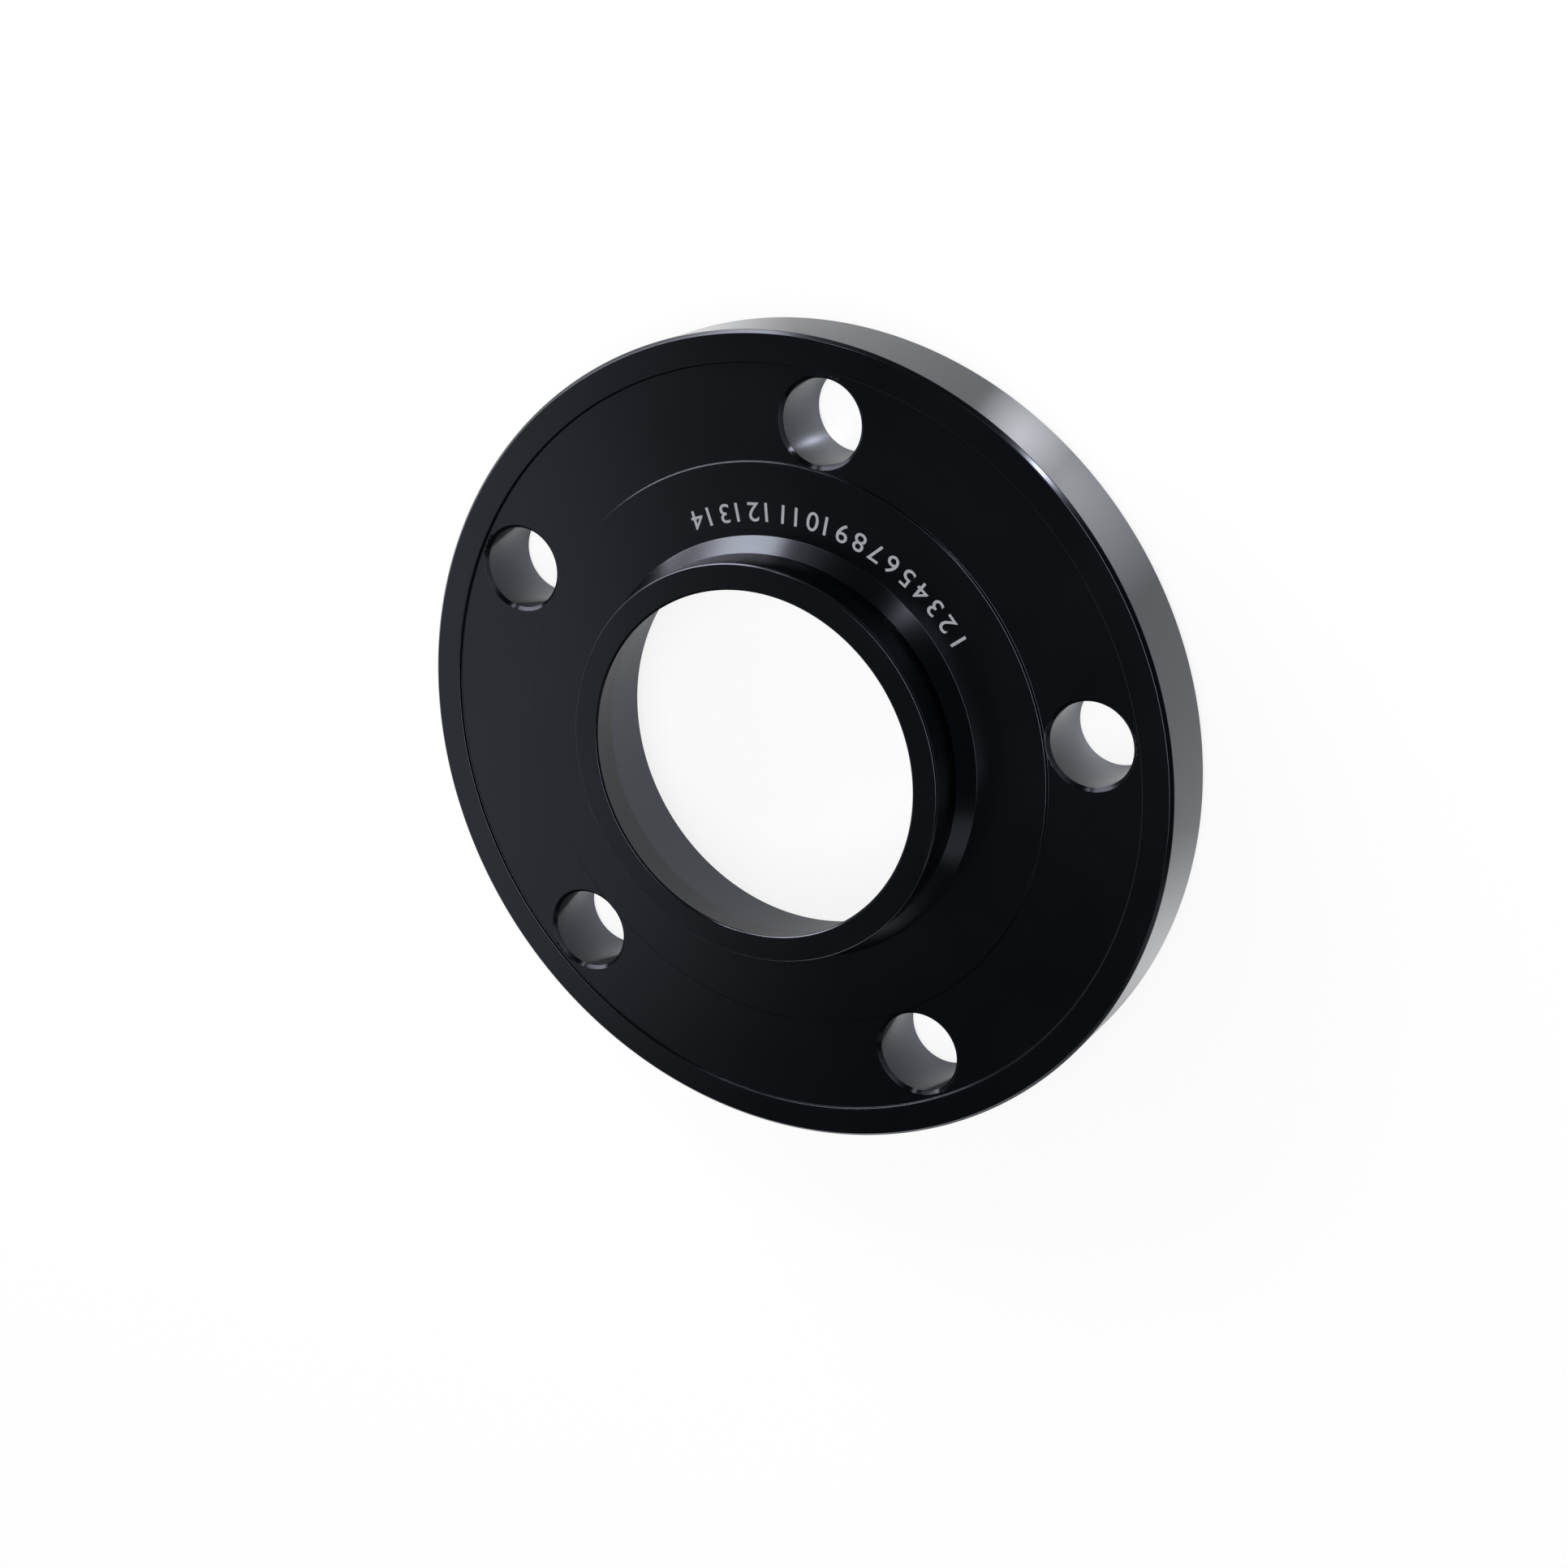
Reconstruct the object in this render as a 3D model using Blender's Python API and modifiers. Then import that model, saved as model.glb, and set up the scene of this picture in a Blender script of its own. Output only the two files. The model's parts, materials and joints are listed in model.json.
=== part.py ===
"""Wheel spacer with five bolt holes, turned from one piece of aluminium and anodised black.

It lies on its hub side with the centring lip upward. The origin is the centre of the hub-side
face, +Z points towards the wheel, and the first bolt hole is on +X.
"""
import math

import bpy

MM = 0.001

# Flange
THICKNESS = 15.0 * MM
OUTER_SEAT_WIDTH = 4.95 * MM
WHEEL_SIDE_EDGE = 0.6 * MM
HUB_SIDE_EDGE = 1.2 * MM

# Bolt holes, with a chamfer at the wheel side and a larger one at the hub side
BOLT_COUNT = 5
BOLT_CIRCLE = 120.0 * MM
BOLT_HOLE = 15.0 * MM
BOLT_WHEEL_CHAMFER = 0.6 * MM
BOLT_HUB_CHAMFER = 1.0 * MM

# Relief turned round the bolt circle, so that the wheel seats inside and outside the bolts.
# The lands are what is left of its floor beside the bolt holes.
RELIEF_DEPTH = 0.5 * MM
RELIEF_INNER_LAND = 0.1 * MM
RELIEF_OUTER_LAND = 0.6 * MM

# Centring lip for the wheel, with a coned shoulder at its foot and a bore that narrows upward
HUB_DIAMETER = 72.56 * MM
LIP_HEIGHT = 10.0 * MM
LIP_SHOULDER = 2.6 * MM
LIP_END_WALL = 4.8 * MM
LIP_ROOT_WALL = 2.8 * MM
LIP_EDGE = 0.3 * MM

# Recess that takes the nose of the vehicle's hub
HUB_CLEARANCE = 0.05 * MM
RECESS_ROOF = 0.8 * MM
RECESS_CHAMFER = 3.6 * MM

# Facets round the turned body and round each hole
BODY_STEPS = 120
HOLE_STEPS = 40

BOLT_RADIUS = BOLT_HOLE / 2
BOLT_RING = BOLT_CIRCLE / 2
RELIEF_FLOOR = THICKNESS - RELIEF_DEPTH
RELIEF_INNER_RADIUS = BOLT_RING - BOLT_RADIUS - BOLT_WHEEL_CHAMFER - RELIEF_INNER_LAND
RELIEF_OUTER_RADIUS = BOLT_RING + BOLT_RADIUS + BOLT_WHEEL_CHAMFER + RELIEF_OUTER_LAND
RIM_RADIUS = RELIEF_OUTER_RADIUS + OUTER_SEAT_WIDTH + WHEEL_SIDE_EDGE
LIP_RADIUS = HUB_DIAMETER / 2
LIP_TOP = THICKNESS + LIP_HEIGHT


def clear_scene():
    """Removes what the file opened with."""
    for old in list(bpy.data.objects):
        bpy.data.objects.remove(old, do_unlink=True)


def new_collection(name):
    """Adds a collection to the scene."""
    collection = bpy.data.collections.new(name)
    bpy.context.scene.collection.children.link(collection)
    return collection


def black_anodised_aluminium():
    """Satin black: a dyed oxide layer over bright metal."""
    material = bpy.data.materials.new("black_anodised_aluminium")
    material.use_nodes = True
    shader = material.node_tree.nodes["Principled BSDF"]
    shader.inputs["Base Color"].default_value = (0.020, 0.021, 0.024, 1.0)
    shader.inputs["Metallic"].default_value = 0.6
    shader.inputs["Roughness"].default_value = 0.38
    return material


def turned(name, section, steps, closed, collection):
    """Turns a section of (radius, height) points once round the Z axis.

    A closed section makes a ring. An open one starts and ends on the axis and makes a plug.
    """
    points = [(radius, 0.0, height) for radius, height in section]
    edges = [(i, i + 1) for i in range(len(points) - 1)]
    if closed:
        edges.append((len(points) - 1, 0))
    mesh = bpy.data.meshes.new(name)
    mesh.from_pydata(points, edges, [])
    solid = bpy.data.objects.new(name, mesh)
    collection.objects.link(solid)

    screw = solid.modifiers.new("turn", "SCREW")
    screw.axis = "Z"
    screw.angle = math.tau
    screw.steps = steps
    screw.render_steps = steps
    screw.use_merge_vertices = True
    screw.merge_threshold = 0.00001
    return solid


def outer_section():
    """Down the outside: lip, coned shoulder, inner seat, relief, outer seat and rim."""
    return [
        (LIP_RADIUS - LIP_EDGE, LIP_TOP),
        (LIP_RADIUS, LIP_TOP - LIP_EDGE),
        (LIP_RADIUS, THICKNESS + LIP_SHOULDER),
        (LIP_RADIUS + LIP_SHOULDER, THICKNESS),
        (RELIEF_INNER_RADIUS, THICKNESS),
        (RELIEF_INNER_RADIUS, RELIEF_FLOOR),
        (RELIEF_OUTER_RADIUS, RELIEF_FLOOR),
        (RELIEF_OUTER_RADIUS, THICKNESS),
        (RIM_RADIUS - WHEEL_SIDE_EDGE, THICKNESS),
        (RIM_RADIUS, THICKNESS - WHEEL_SIDE_EDGE),
        (RIM_RADIUS, HUB_SIDE_EDGE),
        (RIM_RADIUS - HUB_SIDE_EDGE, 0.0),
    ]


def inner_section():
    """Up the inside: chamfered mouth, hub recess with its roof sloped at 45 degrees, and lip bore."""
    recess_radius = LIP_RADIUS + HUB_CLEARANCE
    recess_top = THICKNESS - RECESS_ROOF
    bore_foot_radius = LIP_RADIUS - LIP_ROOT_WALL
    bore_end_radius = LIP_RADIUS - LIP_END_WALL
    roof_rise = recess_radius - bore_foot_radius
    return [
        (recess_radius + RECESS_CHAMFER, 0.0),
        (recess_radius, RECESS_CHAMFER),
        (recess_radius, recess_top),
        (bore_foot_radius, recess_top + roof_rise),
        (bore_end_radius, LIP_TOP - LIP_EDGE),
        (bore_end_radius + LIP_EDGE, LIP_TOP),
    ]


def drill_section():
    """A drill with a countersink at each end, whose cones run on a little past both faces."""
    lead = RELIEF_INNER_LAND / 2
    return [
        (0.0, RELIEF_FLOOR + lead),
        (BOLT_RADIUS + BOLT_WHEEL_CHAMFER + lead, RELIEF_FLOOR + lead),
        (BOLT_RADIUS, RELIEF_FLOOR - BOLT_WHEEL_CHAMFER),
        (BOLT_RADIUS, BOLT_HUB_CHAMFER),
        (BOLT_RADIUS + BOLT_HUB_CHAMFER + lead, -lead),
        (0.0, -lead),
    ]


def drill_bolt_holes(body, cutters):
    """Drills the bolt holes evenly round the bolt circle."""
    drills = [turned("bolt_drill_1", drill_section(), HOLE_STEPS, False, cutters)]
    for number in range(2, BOLT_COUNT + 1):
        drill = drills[0].copy()
        drill.name = f"bolt_drill_{number}"
        cutters.objects.link(drill)
        drills.append(drill)
    for index, drill in enumerate(drills):
        angle = math.tau * index / BOLT_COUNT
        drill.location = (BOLT_RING * math.cos(angle), BOLT_RING * math.sin(angle), 0.0)
        drill.rotation_euler.z = angle
        drill.hide_render = True
        drill.display_type = "WIRE"
        cut = body.modifiers.new(drill.name, "BOOLEAN")
        cut.operation = "DIFFERENCE"
        cut.solver = "EXACT"
        cut.object = drill


def keep_finished_mesh(body):
    """Gives the body its drilled mesh for good, with the round surfaces shaded smooth."""
    bpy.context.view_layer.update()
    finished = body.evaluated_get(bpy.context.evaluated_depsgraph_get())
    mesh = bpy.data.meshes.new_from_object(finished)
    mesh.name = body.name
    mesh.shade_smooth()
    mesh.set_sharp_from_angle(angle=math.radians(30))
    body.modifiers.clear()
    body.data = mesh


def make_wheel_spacer():
    """Turns the body, drills it and gives it its finish."""
    parts = new_collection("wheel_spacer")
    cutters = new_collection("wheel_spacer_cutters")
    body = turned("wheel_spacer", outer_section() + inner_section(), BODY_STEPS, True, parts)
    drill_bolt_holes(body, cutters)
    keep_finished_mesh(body)
    body.data.materials.clear()
    body.data.materials.append(black_anodised_aluminium())


clear_scene()
make_wheel_spacer()
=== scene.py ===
"""Looks of the wheel spacer: a black anodised aluminium ring with a centring lip and five bolt holes.

It lies on its hub side at z = 0 with the lip upward, and the first bolt hole is on +X.
"""
import json
import math

import bpy
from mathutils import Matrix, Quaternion, Vector

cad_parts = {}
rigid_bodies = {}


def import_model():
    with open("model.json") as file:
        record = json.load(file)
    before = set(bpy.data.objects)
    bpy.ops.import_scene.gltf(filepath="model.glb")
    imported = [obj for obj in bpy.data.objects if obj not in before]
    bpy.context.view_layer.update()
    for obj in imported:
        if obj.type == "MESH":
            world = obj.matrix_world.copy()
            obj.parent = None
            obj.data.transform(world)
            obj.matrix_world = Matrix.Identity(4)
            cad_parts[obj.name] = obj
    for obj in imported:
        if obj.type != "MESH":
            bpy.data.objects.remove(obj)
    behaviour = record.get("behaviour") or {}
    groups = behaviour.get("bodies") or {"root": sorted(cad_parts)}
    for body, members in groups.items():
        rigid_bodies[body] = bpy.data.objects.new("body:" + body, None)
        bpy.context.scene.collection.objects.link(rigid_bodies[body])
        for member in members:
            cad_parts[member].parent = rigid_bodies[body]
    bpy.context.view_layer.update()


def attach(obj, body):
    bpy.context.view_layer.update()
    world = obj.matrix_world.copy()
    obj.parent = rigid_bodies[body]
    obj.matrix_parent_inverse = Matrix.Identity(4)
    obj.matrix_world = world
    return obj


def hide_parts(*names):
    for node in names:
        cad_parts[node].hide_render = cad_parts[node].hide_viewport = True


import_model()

# Turned body
# One disc of aluminium, turned all over: flange, relief round the bolts, centring lip and hub
# recess. The tool's nose leaves the inner corners slightly round, and the edges are broken.
MM = 0.001
THICKNESS = 15.0 * MM
OUTER_SEAT_WIDTH = 4.95 * MM
WHEEL_SIDE_EDGE = 0.6 * MM
HUB_SIDE_EDGE = 1.2 * MM
BOLT_CIRCLE = 120.0 * MM
BOLT_HOLE = 15.0 * MM
BOLT_WHEEL_CHAMFER = 0.6 * MM
RELIEF_DEPTH = 0.5 * MM
RELIEF_INNER_LAND = 0.1 * MM
RELIEF_OUTER_LAND = 0.6 * MM
HUB_DIAMETER = 72.56 * MM
LIP_HEIGHT = 10.0 * MM
LIP_SHOULDER = 2.6 * MM
LIP_END_WALL = 4.8 * MM
LIP_ROOT_WALL = 2.8 * MM
LIP_EDGE = 0.3 * MM
HUB_CLEARANCE = 0.05 * MM
RECESS_ROOF = 0.8 * MM
RECESS_CHAMFER = 3.6 * MM
BROKEN_EDGE = 0.25 * MM
TOOL_NOSE = 0.1 * MM
BODY_STEPS = 360
ARC_PARTS = 4

BOLT_RADIUS = BOLT_HOLE / 2
BOLT_RING = BOLT_CIRCLE / 2
MOUTH_RADIUS = BOLT_RADIUS + BOLT_WHEEL_CHAMFER
RELIEF_FLOOR = THICKNESS - RELIEF_DEPTH
RELIEF_INNER_RADIUS = BOLT_RING - MOUTH_RADIUS - RELIEF_INNER_LAND
RELIEF_OUTER_RADIUS = BOLT_RING + MOUTH_RADIUS + RELIEF_OUTER_LAND
RIM_RADIUS = RELIEF_OUTER_RADIUS + OUTER_SEAT_WIDTH + WHEEL_SIDE_EDGE
LIP_RADIUS = HUB_DIAMETER / 2
LIP_TOP = THICKNESS + LIP_HEIGHT
RECESS_RADIUS = LIP_RADIUS + HUB_CLEARANCE
RECESS_TOP = THICKNESS - RECESS_ROOF
BORE_FOOT_RADIUS = LIP_RADIUS - LIP_ROOT_WALL
BORE_END_RADIUS = LIP_RADIUS - LIP_END_WALL

# Each corner of the section is (radius, height, how round it is), down the outside and up the inside
body_section = [
    (LIP_RADIUS - LIP_EDGE, LIP_TOP, BROKEN_EDGE),
    (LIP_RADIUS, LIP_TOP - LIP_EDGE, BROKEN_EDGE),
    (LIP_RADIUS, THICKNESS + LIP_SHOULDER, TOOL_NOSE),
    (LIP_RADIUS + LIP_SHOULDER, THICKNESS, TOOL_NOSE),
    (RELIEF_INNER_RADIUS, THICKNESS, BROKEN_EDGE),
    (RELIEF_INNER_RADIUS, RELIEF_FLOOR, TOOL_NOSE),
    (RELIEF_OUTER_RADIUS, RELIEF_FLOOR, TOOL_NOSE),
    (RELIEF_OUTER_RADIUS, THICKNESS, BROKEN_EDGE),
    (RIM_RADIUS - WHEEL_SIDE_EDGE, THICKNESS, BROKEN_EDGE),
    (RIM_RADIUS, THICKNESS - WHEEL_SIDE_EDGE, BROKEN_EDGE),
    (RIM_RADIUS, HUB_SIDE_EDGE, BROKEN_EDGE),
    (RIM_RADIUS - HUB_SIDE_EDGE, 0.0, BROKEN_EDGE),
    (RECESS_RADIUS + RECESS_CHAMFER, 0.0, BROKEN_EDGE),
    (RECESS_RADIUS, RECESS_CHAMFER, BROKEN_EDGE),
    (RECESS_RADIUS, RECESS_TOP, TOOL_NOSE),
    (BORE_FOOT_RADIUS, RECESS_TOP + RECESS_RADIUS - BORE_FOOT_RADIUS, BROKEN_EDGE),
    (BORE_END_RADIUS, LIP_TOP - LIP_EDGE, BROKEN_EDGE),
    (BORE_END_RADIUS + LIP_EDGE, LIP_TOP, BROKEN_EDGE),
]


def rounded(section):
    """Puts an arc at each corner of a section. A corner with no roundness stays as it is."""
    outline = []
    for index, (radius, height, roundness) in enumerate(section):
        corner = Vector((radius, height))
        if not roundness:
            outline.append(corner)
            continue
        to_last = (Vector(section[index - 1][:2]) - corner).normalized()
        to_next = (Vector(section[(index + 1) % len(section)][:2]) - corner).normalized()
        half_angle = to_last.angle(to_next) / 2
        centre = corner + (to_last + to_next).normalized() * (roundness / math.sin(half_angle))
        reach = roundness / math.tan(half_angle)
        start = corner + to_last * reach - centre
        end = corner + to_next * reach - centre
        for part in range(ARC_PARTS + 1):
            outline.append(centre + start.slerp(end, part / ARC_PARTS) * roundness)
    return outline


def turned(name, outline, steps, closed):
    """Turns an outline of (radius, height) points once round the Z axis."""
    edges = [(i, i + 1) for i in range(len(outline) - 1)]
    if closed:
        edges.append((len(outline) - 1, 0))
    mesh = bpy.data.meshes.new(name)
    mesh.from_pydata([(radius, 0.0, height) for radius, height in outline], edges, [])
    solid = bpy.data.objects.new(name, mesh)
    bpy.context.scene.collection.objects.link(solid)
    screw = solid.modifiers.new("turn", "SCREW")
    screw.angle = math.tau
    screw.steps = screw.render_steps = steps
    screw.use_merge_vertices = True
    screw.merge_threshold = 0.001 * MM
    return solid


def finished(solid):
    """The object's mesh with its modifiers applied."""
    bpy.context.view_layer.update()
    shaped = solid.evaluated_get(bpy.context.evaluated_depsgraph_get())
    return bpy.data.meshes.new_from_object(shaped)


spacer_body = turned("spacer_body", rounded(body_section), BODY_STEPS, True)

# Black anodising
# The metal's own skin, grown in acid and dyed black. It is clear and hard over the dye, so it
# mirrors like dark glass, blurred by the fine rings that the tool left round the axis.
DYE_DARK = (0.0009, 0.0012, 0.0016, 1.0)
DYE_PALE = (0.0016, 0.0021, 0.0027, 1.0)
SKIN_IOR = 1.77
SKIN_TINT = (0.76, 0.82, 1.0, 1.0)
TURNED_ROUGHNESS = (0.18, 0.25)
TURNED_STREAK = 0.1
FEED_PITCH = 0.22 * MM
FEED_DEPTH = 0.0012 * MM
CLOUD_SIZE = 18.0 * MM
CLOUD_DETAIL = 3.0
FINE_DETAIL = 2.0
GRAIN_SIZE = 0.35 * MM
GRAIN_DEPTH = 0.0009 * MM
ALONG_HEIGHT = 0.6
QUARTER_TURN = 0.25


def noise(nodes, size, detail, dimensions="3D"):
    """Cloudy texture whose lumps are about that size."""
    texture = nodes.new("ShaderNodeTexNoise")
    texture.noise_dimensions = dimensions
    texture.inputs["Scale"].default_value = 1.0 / size
    texture.inputs["Detail"].default_value = detail
    return texture


def blended(nodes, links, kind, source, low, high):
    """Takes a 0 to 1 texture to between two values or two colours."""
    mix = nodes.new("ShaderNodeMix")
    mix.data_type = kind
    factor, first, second = [socket for socket in mix.inputs if socket.enabled]
    first.default_value = low
    second.default_value = high
    links.new(source, factor)
    return next(socket for socket in mix.outputs if socket.enabled)


def bumped(nodes, links, source, depth, below=None):
    """Raises the surface by a texture, on top of an earlier bump."""
    bump = nodes.new("ShaderNodeBump")
    bump.inputs["Distance"].default_value = depth
    links.new(source, bump.inputs["Height"])
    if below:
        links.new(below, bump.inputs["Normal"])
    return bump.outputs["Normal"]


def anodised(name, roughness, streak, along_radius, along_height, refraction=SKIN_IOR):
    """Black anodising over tool marks, which follow a mix of the radius and the height."""
    material = bpy.data.materials.new(name)
    material.use_nodes = True
    nodes, links = material.node_tree.nodes, material.node_tree.links
    shader = nodes["Principled BSDF"]
    shader.inputs["IOR"].default_value = refraction
    shader.inputs["Specular Tint"].default_value = SKIN_TINT
    shader.inputs["Anisotropic"].default_value = streak
    shader.inputs["Anisotropic Rotation"].default_value = QUARTER_TURN
    place = nodes.new("ShaderNodeTexCoord").outputs["Object"]

    clouds = noise(nodes, CLOUD_SIZE, CLOUD_DETAIL)
    links.new(place, clouds.inputs["Vector"])
    links.new(
        blended(nodes, links, "RGBA", clouds.outputs["Fac"], DYE_DARK, DYE_PALE),
        shader.inputs["Base Color"],
    )
    links.new(
        blended(nodes, links, "FLOAT", clouds.outputs["Fac"], *roughness),
        shader.inputs["Roughness"],
    )

    weigh = nodes.new("ShaderNodeVectorMath")
    weigh.operation = "MULTIPLY"
    weigh.inputs[1].default_value = (along_radius, along_radius, 0.0)
    links.new(place, weigh.inputs[0])
    radius = nodes.new("ShaderNodeVectorMath")
    radius.operation = "LENGTH"
    links.new(weigh.outputs["Vector"], radius.inputs[0])
    height = nodes.new("ShaderNodeSeparateXYZ")
    links.new(place, height.inputs["Vector"])
    travel = nodes.new("ShaderNodeMath")
    travel.operation = "MULTIPLY_ADD"
    travel.inputs[1].default_value = along_height
    links.new(height.outputs["Z"], travel.inputs[0])
    links.new(radius.outputs["Value"], travel.inputs[2])
    rings = noise(nodes, FEED_PITCH, FINE_DETAIL, "1D")
    links.new(travel.outputs["Value"], rings.inputs["W"])
    grain = noise(nodes, GRAIN_SIZE, FINE_DETAIL)
    links.new(place, grain.inputs["Vector"])
    ridges = bumped(nodes, links, rings.outputs["Fac"], FEED_DEPTH)
    links.new(
        bumped(nodes, links, grain.outputs["Fac"], GRAIN_DEPTH, ridges),
        shader.inputs["Normal"],
    )
    return material


def streaked_round_axis(material):
    """Sets the streaks of a turned surface at right angles to the tool marks round the Z axis."""
    tangent = material.node_tree.nodes.new("ShaderNodeTangent")
    tangent.direction_type = "RADIAL"
    tangent.axis = "Z"
    shader = material.node_tree.nodes["Principled BSDF"]
    material.node_tree.links.new(tangent.outputs["Tangent"], shader.inputs["Tangent"])


turned_black = anodised("turned_black", TURNED_ROUGHNESS, TURNED_STREAK, 1.0, ALONG_HEIGHT)
streaked_round_axis(turned_black)
spacer_body.data.materials.append(turned_black)

# Bolt holes
# Five holes drilled evenly round the bolt circle before the anodising, countersunk at both
# mouths. Drill marks run round each wall, so its sheen is streaked along the hole.
BOLT_COUNT = 5
BOLT_HUB_CHAMFER = 1.0 * MM
MOUTH_FLARE = 0.09 * MM
MOUTH_RISE = 0.02 * MM
MOUTH_ROUNDNESS = 0.15 * MM
HOLE_STEPS = 96
DRILLED_ROUGHNESS = (0.25, 0.33)
DRILLED_STREAK = 1.0

drill_section = [
    (0.0, RELIEF_FLOOR + MOUTH_RISE, 0.0),
    (MOUTH_RADIUS + MOUTH_FLARE, RELIEF_FLOOR + MOUTH_RISE, 0.0),
    (MOUTH_RADIUS, RELIEF_FLOOR, MOUTH_ROUNDNESS),
    (BOLT_RADIUS, RELIEF_FLOOR - BOLT_WHEEL_CHAMFER, TOOL_NOSE),
    (BOLT_RADIUS, BOLT_HUB_CHAMFER, TOOL_NOSE),
    (BOLT_RADIUS + BOLT_HUB_CHAMFER, 0.0, MOUTH_ROUNDNESS),
    (BOLT_RADIUS + BOLT_HUB_CHAMFER + MOUTH_FLARE, -MOUTH_RISE, 0.0),
    (0.0, -MOUTH_RISE, 0.0),
]

drilled_black = anodised("drilled_black", DRILLED_ROUGHNESS, DRILLED_STREAK, 0.0, 1.0)
outward = drilled_black.node_tree.nodes.new("ShaderNodeNewGeometry")
round_the_hole = drilled_black.node_tree.nodes.new("ShaderNodeVectorMath")
round_the_hole.operation = "CROSS_PRODUCT"
round_the_hole.inputs[0].default_value = (0.0, 0.0, 1.0)
drilled_black.node_tree.links.new(outward.outputs["Normal"], round_the_hole.inputs[1])
drilled_black.node_tree.links.new(
    round_the_hole.outputs["Vector"],
    drilled_black.node_tree.nodes["Principled BSDF"].inputs["Tangent"],
)

master_drill = turned("bolt_drill", rounded(drill_section), HOLE_STEPS, False)
drill_mesh = finished(master_drill)
drill_mesh.materials.append(drilled_black)
bpy.data.objects.remove(master_drill)
drills = bpy.data.collections.new("bolt_drills")
bpy.context.scene.collection.children.link(drills)
for number in range(BOLT_COUNT):
    drill = bpy.data.objects.new(f"bolt_drill_{number + 1}", drill_mesh)
    angle = math.tau * number / BOLT_COUNT
    drill.location = (BOLT_RING * math.cos(angle), BOLT_RING * math.sin(angle), 0.0)
    drill.rotation_euler.z = angle
    drills.objects.link(drill)

drilling = spacer_body.modifiers.new("drill", "BOOLEAN")
drilling.operation = "DIFFERENCE"
drilling.solver = "EXACT"
drilling.operand_type = "COLLECTION"
drilling.collection = drills
drilling.material_mode = "TRANSFER"
welding = spacer_body.modifiers.new("weld", "WELD")
welding.merge_threshold = 0.001 * MM
drilled_mesh = finished(spacer_body)
spacer_body.modifiers.clear()
spacer_body.data = drilled_mesh
for drill in list(drills.objects):
    bpy.data.objects.remove(drill)
bpy.data.collections.remove(drills)

# Lip bore
# The taper inside the lip only clears the hub's cap. It is bored with a coarse feed, so it is
# duller than the fitted surfaces. Its skin is also set to mirror less than theirs, which paints
# shade into the bore.
BORED_ROUGHNESS = (0.42, 0.50)
BORE_SHADE_IOR = 1.45
FACING_SHARE = 0.9
FLAT_FACE_WEIGHT = 100

bored_black = anodised("bored_black", BORED_ROUGHNESS, TURNED_STREAK, 0.0, 1.0, BORE_SHADE_IOR)
streaked_round_axis(bored_black)
spacer_body.data.materials.append(bored_black)
bored_slot = len(spacer_body.data.materials) - 1
for face in spacer_body.data.polygons:
    facing_axis = -face.normal.xy.dot(face.center.xy) > FACING_SHARE * face.center.xy.length
    if facing_axis and face.center.z > THICKNESS:
        face.material_index = bored_slot

spacer_body.data.shade_smooth()
flat_faces_first = spacer_body.modifiers.new("shading", "WEIGHTED_NORMAL")
flat_faces_first.weight = FLAT_FACE_WEIGHT
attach(spacer_body, "root")
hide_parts("wheel_spacer")

# Laser marking
# A row of plain numbers round the lip, on the inner seat. A laser burnt the dye out of the
# anodising, which left matt light grey strokes, read from outside with the tops to the axis.
NUMBERS = 14
MIDDLE_ANGLE = -8.5
MARK_FOOT_RADIUS = 44.6 * MM
MARK_HEIGHT = 3.5 * MM
# The font's figures are this share of its size high, and the row is set a little wider than it
CAP_SHARE = 0.729
MARK_WIDTH = 1.06
MARK_THICKENED = 0.02 * MM
FIGURE_PITCH = 2.35 * MM
NUMBER_GAP = 1.1 * MM
MARK_RAISED = 0.015 * MM
MARK_GREY = (0.56, 0.58, 0.62, 1.0)
MARK_WHITE = (0.76, 0.78, 0.82, 1.0)
MARK_ROUGHNESS = 0.6
SPECKLE_SIZE = 0.12 * MM
SPECKLE_DEPTH = 0.004 * MM

lasered_grey = bpy.data.materials.new("lasered_grey")
lasered_grey.use_nodes = True
mark_nodes, mark_links = lasered_grey.node_tree.nodes, lasered_grey.node_tree.links
mark_shader = mark_nodes["Principled BSDF"]
mark_shader.inputs["Roughness"].default_value = MARK_ROUGHNESS
speckle = noise(mark_nodes, SPECKLE_SIZE, FINE_DETAIL)
mark_links.new(mark_nodes.new("ShaderNodeTexCoord").outputs["Object"], speckle.inputs["Vector"])
mark_links.new(
    blended(mark_nodes, mark_links, "RGBA", speckle.outputs["Fac"], MARK_GREY, MARK_WHITE),
    mark_shader.inputs["Base Color"],
)
mark_links.new(
    bumped(mark_nodes, mark_links, speckle.outputs["Fac"], SPECKLE_DEPTH),
    mark_shader.inputs["Normal"],
)


def struck_number(number, angle):
    """A flat number on the inner seat, at an angle round the axis in degrees."""
    figures = bpy.data.curves.new(f"number_{number}", "FONT")
    figures.body = str(number)
    figures.size = MARK_HEIGHT / CAP_SHARE
    figures.align_x = "CENTER"
    figures.extrude = MARK_RAISED
    figures.offset = MARK_THICKENED
    text = bpy.data.objects.new(f"number_{number}", figures)
    bpy.context.scene.collection.objects.link(text)
    turn = math.radians(angle)
    text.location = (MARK_FOOT_RADIUS * math.cos(turn), MARK_FOOT_RADIUS * math.sin(turn), THICKNESS)
    text.rotation_euler.z = turn + math.pi / 2
    text.scale.x = MARK_WIDTH
    return text


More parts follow.
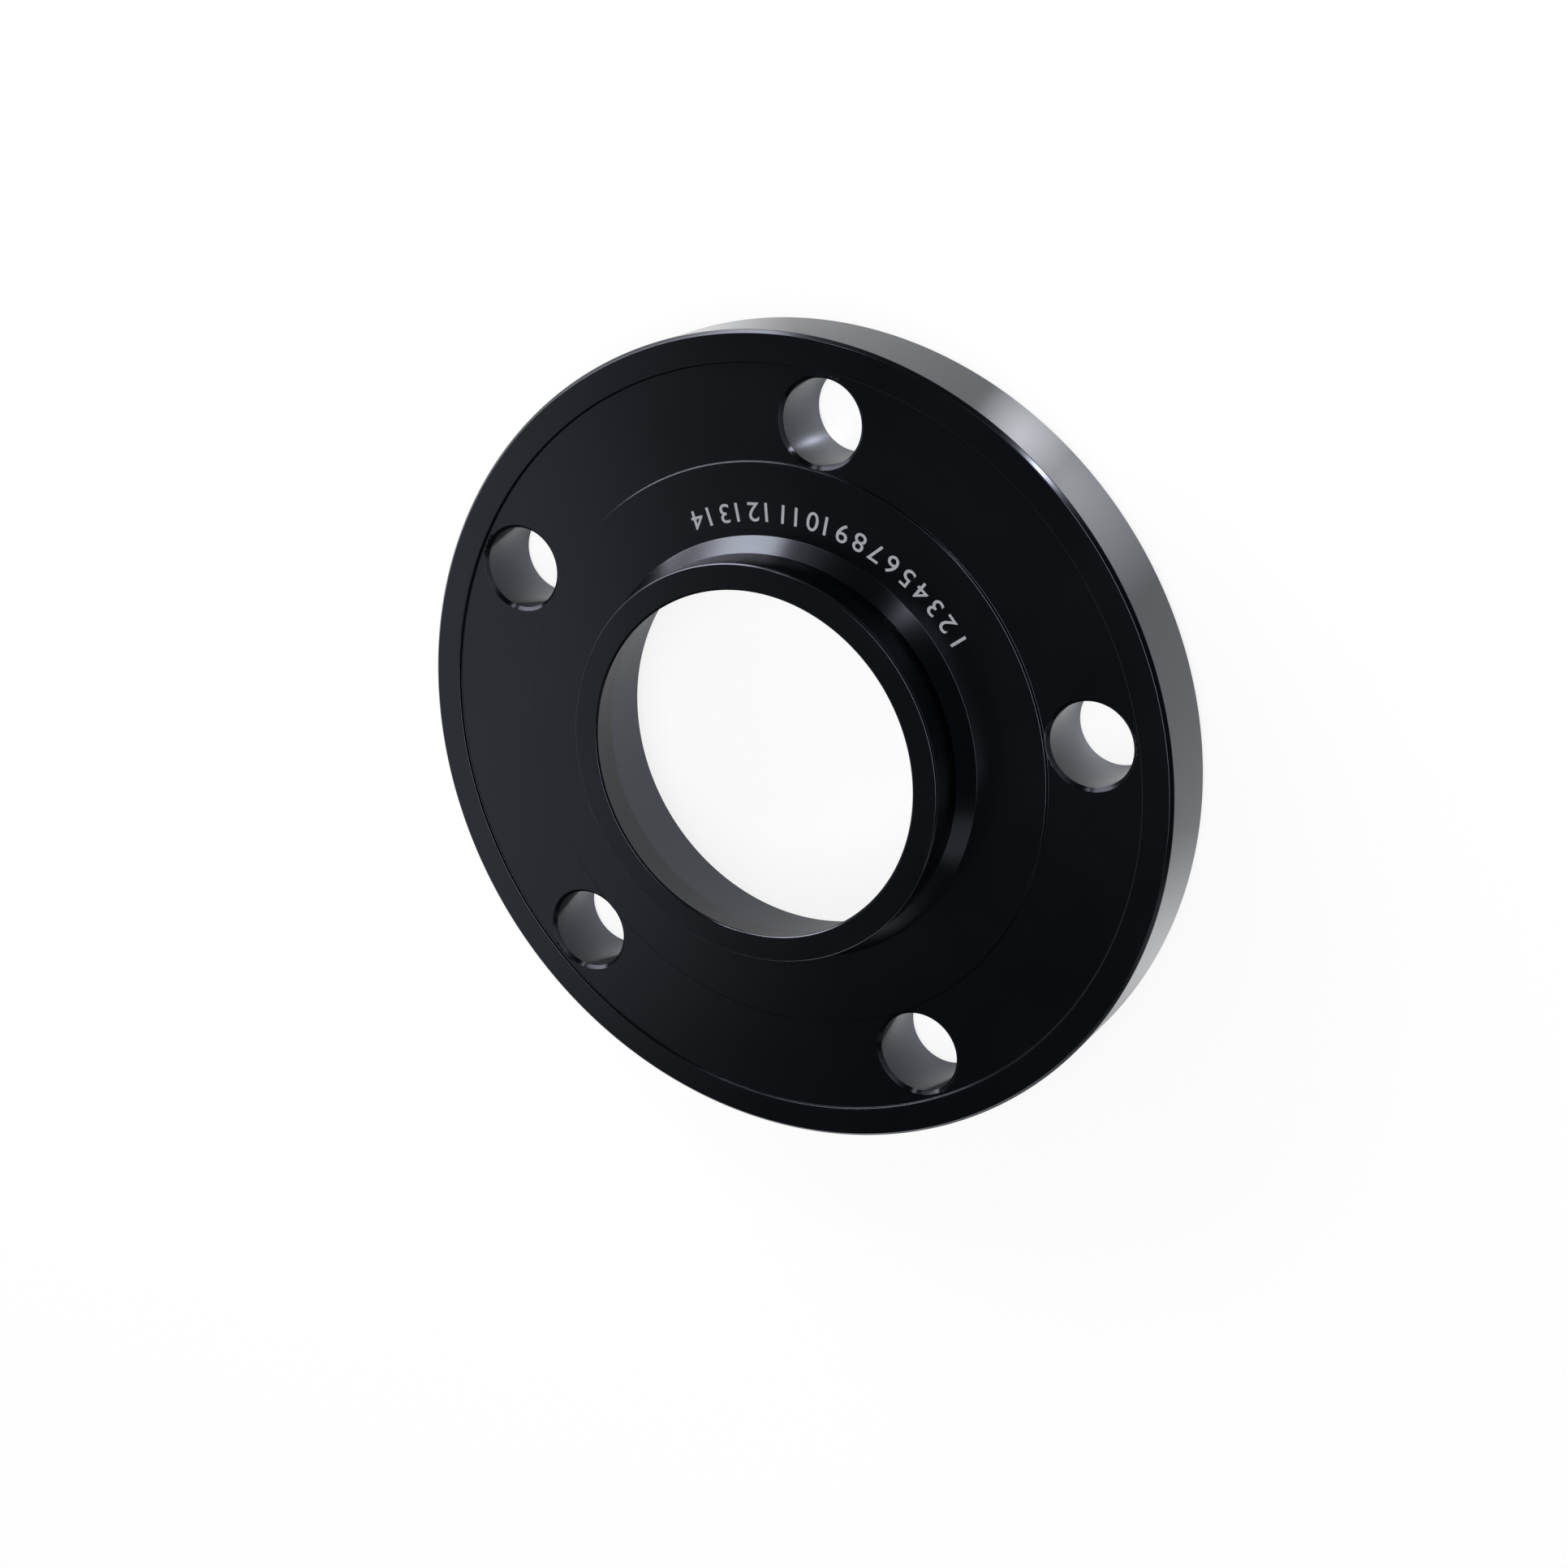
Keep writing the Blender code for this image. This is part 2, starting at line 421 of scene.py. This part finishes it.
widths = [len(str(n + 1)) * FIGURE_PITCH + NUMBER_GAP for n in range(NUMBERS)]
reading_radius = MARK_FOOT_RADIUS - MARK_HEIGHT / 2
texts = []
for n, width in enumerate(widths):
    along = sum(widths[:n]) + (width - sum(widths)) / 2
    texts.append(struck_number(n + 1, MIDDLE_ANGLE + math.degrees(along / reading_radius)))
bpy.context.view_layer.update()
marking_points, marking_faces = [], []
for text in texts:
    flat = finished(text)
    first = len(marking_points)
    marking_points += [text.matrix_world @ vertex.co for vertex in flat.vertices]
    marking_faces += [[first + corner for corner in face.vertices] for face in flat.polygons]
    bpy.data.objects.remove(text)
marking_mesh = bpy.data.meshes.new("laser_marking")
marking_mesh.from_pydata(marking_points, [], marking_faces)
marking_mesh.materials.append(lasered_grey)
laser_marking = bpy.data.objects.new("laser_marking", marking_mesh)
bpy.context.scene.collection.objects.link(laser_marking)
# The polished lip beside the marking would mirror it as a row of bright ticks, which isn't seen
laser_marking.visible_glossy = False
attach(laser_marking, "root")

# Floor
# One large matt white board under the ring, which takes the ring's soft shadow. It glows white
# to the eye. The ring mirrors it a little greyer, with painted pools of light by the rim and the
# holes: they glow only in what the ring mirrors and paint the rim's and the holes' highlights.
BOARD_RADIUS = 3.0
BOARD_DROP = 0.05 * MM
BOARD_STEPS = 96
BOARD_WHITE = (0.92, 0.92, 0.92, 1.0)
BOARD_SHADE = (0.30, 0.30, 0.30, 1.0)
BOARD_GLOW = 0.86
MIRRORED_GLOW = 0.65
# Each painted pool: brightness, x and y in mm, direction in degrees, half its length and width in mm
PAINTED_LIGHT_POOLS = [
    (1.5, 65.0, -47.0, 58.0, 26.0, 16.0),
    (2.2, 72.0, -35.0, 65.0, 10.0, 12.0),
    (0.9, 68.0, 44.0, -60.0, 34.0, 16.0),
    (0.8, -25.0, -80.0, 15.0, 30.0, 16.0),
    (1.4, 54.5, 5.0, 0.0, 8.0, 8.0),
    (1.2, 12.5, 62.0, 0.0, 7.5, 7.5),
    (1.0, -54.0, 40.5, 0.0, 7.5, 7.5),
    (1.0, -54.0, -30.0, 0.0, 7.5, 7.5),
    (2.0, 12.5, -52.5, 0.0, 8.0, 8.0),
]


def lit_for(nodes, links, *rays):
    """1 for the kinds of ray that are named, and 0 for the others."""
    path = nodes.new("ShaderNodeLightPath")
    total = path.outputs[rays[0]]
    for ray in rays[1:]:
        either = nodes.new("ShaderNodeMath")
        either.operation = "MAXIMUM"
        links.new(total, either.inputs[0])
        links.new(path.outputs[ray], either.inputs[1])
        total = either.outputs["Value"]
    return total


def multiplied_on(nodes, links, value, by, onto):
    """Multiplies a value by a number or another value and adds the result to a third."""
    sum_up = nodes.new("ShaderNodeMath")
    sum_up.operation = "MULTIPLY_ADD"
    links.new(value, sum_up.inputs[0])
    for socket, given in zip(sum_up.inputs[1:], (by, onto)):
        if isinstance(given, float):
            socket.default_value = given
        else:
            links.new(given, socket)
    return sum_up.outputs["Value"]


def pool(nodes, links, x, y, direction, length, width):
    """An oval of painted light, 1 at its middle and 0 at its edge. Sizes are from the middle, in mm.
    """
    lie = nodes.new("ShaderNodeMapping")
    lie.vector_type = "TEXTURE"
    lie.inputs["Location"].default_value = (x * MM, y * MM, 0.0)
    lie.inputs["Rotation"].default_value = (0.0, 0.0, math.radians(direction))
    lie.inputs["Scale"].default_value = (length * MM, width * MM, 1.0)
    links.new(nodes.new("ShaderNodeNewGeometry").outputs["Position"], lie.inputs["Vector"])
    oval = nodes.new("ShaderNodeTexGradient")
    oval.gradient_type = "SPHERICAL"
    links.new(lie.outputs["Vector"], oval.inputs["Vector"])
    return oval.outputs["Fac"]


white_board = bpy.data.materials.new("white_board")
white_board.use_nodes = True
board_nodes, board_links = white_board.node_tree.nodes, white_board.node_tree.links
board_nodes.remove(board_nodes["Principled BSDF"])
to_eye = lit_for(board_nodes, board_links, "Is Camera Ray", "Is Transmission Ray")
to_mirror = lit_for(board_nodes, board_links, "Is Glossy Ray")
to_either = lit_for(board_nodes, board_links, "Is Camera Ray", "Is Transmission Ray", "Is Glossy Ray")
mirrored_glow_and_painted_pools = MIRRORED_GLOW
# Painted light: pools that glow in what the ring mirrors, where no lamp lights the board
for brightness, *place_and_size in PAINTED_LIGHT_POOLS:
    light = pool(board_nodes, board_links, *place_and_size)
    mirrored_glow_and_painted_pools = multiplied_on(board_nodes, board_links, light, brightness, mirrored_glow_and_painted_pools)
mirrored_glow_and_painted_pools = multiplied_on(board_nodes, board_links, mirrored_glow_and_painted_pools, to_mirror, 0.0)
matt = board_nodes.new("ShaderNodeBsdfDiffuse")
board_links.new(
    blended(board_nodes, board_links, "RGBA", to_either, BOARD_WHITE, BOARD_SHADE),
    matt.inputs["Color"],
)
glow = board_nodes.new("ShaderNodeEmission")
board_links.new(
    multiplied_on(board_nodes, board_links, to_eye, BOARD_GLOW, mirrored_glow_and_painted_pools),
    glow.inputs["Strength"],
)
white = board_nodes.new("ShaderNodeAddShader")
board_links.new(matt.outputs["BSDF"], white.inputs[0])
board_links.new(glow.outputs["Emission"], white.inputs[1])
board_links.new(white.outputs["Shader"], board_nodes["Material Output"].inputs["Surface"])

board_section = [(0.0, -BOARD_DROP), (BOARD_RADIUS, -BOARD_DROP)]
studio_board = turned("studio_board", board_section, BOARD_STEPS, False)
studio_board.data.materials.append(white_board)

# Studio light
# A key softbox almost overhead, a low one for the lip, a small one for the hole mouths and two
# faint fills. One spot streaks the first hole's wall, another picks out the rim's edge. The
# room is white to the eye but dim in what the ring mirrors, so the face stays black.
ROOM = (0.025, 0.027, 0.031, 1.0)
LAMP_DISTANCE = 1.2


def towards(azimuth, elevation):
    """Unit vector at an azimuth and an elevation in degrees."""
    turn, lift = math.radians(azimuth), math.radians(elevation)
    return Vector((math.cos(lift) * math.cos(turn), math.cos(lift) * math.sin(turn), math.sin(lift)))


def hung(name, lamp, out, distance, target):
    """Hangs a lamp at a distance from its target and points it back at it."""
    head = bpy.data.objects.new(name, lamp)
    bpy.context.scene.collection.objects.link(head)
    head.location = target + out * distance
    head.rotation_euler = out.to_track_quat("Z", "Y").to_euler()
    head.visible_camera = False


def softbox(name, azimuth, elevation, width, height, brightness):
    """A rectangular lamp that faces the ring. Brightness 1 is as bright as the white board."""
    lamp = bpy.data.lights.new(name, "AREA")
    lamp.shape = "RECTANGLE"
    lamp.size = width
    lamp.size_y = height
    lamp.energy = brightness * math.pi * width * height
    hung(name, lamp, towards(azimuth, elevation), LAMP_DISTANCE, Vector())


def spotlight(name, azimuth, elevation, distance, aim, beam, power, lens):
    """A narrow lamp aimed at a point of the ring, given in mm. Its beam is in degrees."""
    lamp = bpy.data.lights.new(name, "SPOT")
    lamp.energy = power
    lamp.spot_size = math.radians(beam)
    lamp.spot_blend = 1.0
    lamp.shadow_soft_size = lens
    hung(name, lamp, towards(azimuth, elevation), distance, Vector(aim) * MM)


room = bpy.data.worlds.new("room")
room.use_nodes = True
room_nodes, room_links = room.node_tree.nodes, room.node_tree.links
room_nodes["Background"].inputs["Color"].default_value = ROOM
backdrop = room_nodes.new("ShaderNodeBackground")
backdrop.inputs["Color"].default_value = (1.0, 1.0, 1.0, 1.0)
either_room = room_nodes.new("ShaderNodeMixShader")
room_to_eye = lit_for(room_nodes, room_links, "Is Camera Ray", "Is Transmission Ray")
room_links.new(room_to_eye, either_room.inputs["Fac"])
room_links.new(room_nodes["Background"].outputs["Background"], either_room.inputs[1])
room_links.new(backdrop.outputs["Background"], either_room.inputs[2])
room_links.new(either_room.outputs["Shader"], room_nodes["World Output"].inputs["Surface"])
bpy.context.scene.world = room

# Each softbox: azimuth, elevation, width and height in metres, brightness
softbox("key_softbox", -75.0, 79.0, 0.95, 0.50, 3.2)
softbox("lip_softbox", 56.0, 14.5, 0.95, 0.36, 6.8)
softbox("mouth_softbox", 27.0, 30.0, 0.14, 0.10, 20.0)
softbox("left_fill", 110.0, 38.0, 0.90, 0.72, 0.42)
softbox("right_fill", -124.0, 15.0, 0.35, 0.30, 0.35)
# Each spot: azimuth, elevation, distance in metres, aim in mm, beam, watts, lens in metres
spotlight("hole_spot", -27.5, 45.0, 0.42, (54.3, 4.8, 7.0), 1.0, 72.0, 0.003)
spotlight("edge_spot", -24.0, 25.0, LAMP_DISTANCE, (62.8, -41.5, 15.0), 1.6, 8.0, 0.012)

# Camera
# A standard lens held above the ring, turned so that the first hole comes out on top.
LENS = 59.21
SENSOR = 36.0
AIM = Vector((-5.87, -2.17, 15.0)) * MM
AIM_DISTANCE = 458.11 * MM
CAMERA_AZIMUTH = -45.27
CAMERA_ELEVATION = 55.17
CAMERA_ROLL = math.radians(121.75)
NEAREST = 10.0 * MM

to_camera = towards(CAMERA_AZIMUTH, CAMERA_ELEVATION)
camera = bpy.data.objects.new("camera", bpy.data.cameras.new("camera"))
camera.data.lens = LENS
camera.data.sensor_width = SENSOR
camera.data.clip_start = NEAREST
camera.location = AIM + to_camera * AIM_DISTANCE
camera.rotation_mode = "QUATERNION"
camera.rotation_quaternion = to_camera.to_track_quat("Z", "Y") @ Quaternion((0, 0, 1), -CAMERA_ROLL)
bpy.context.scene.collection.objects.link(camera)
bpy.context.scene.camera = camera
bpy.context.scene.view_settings.view_transform = "Standard"
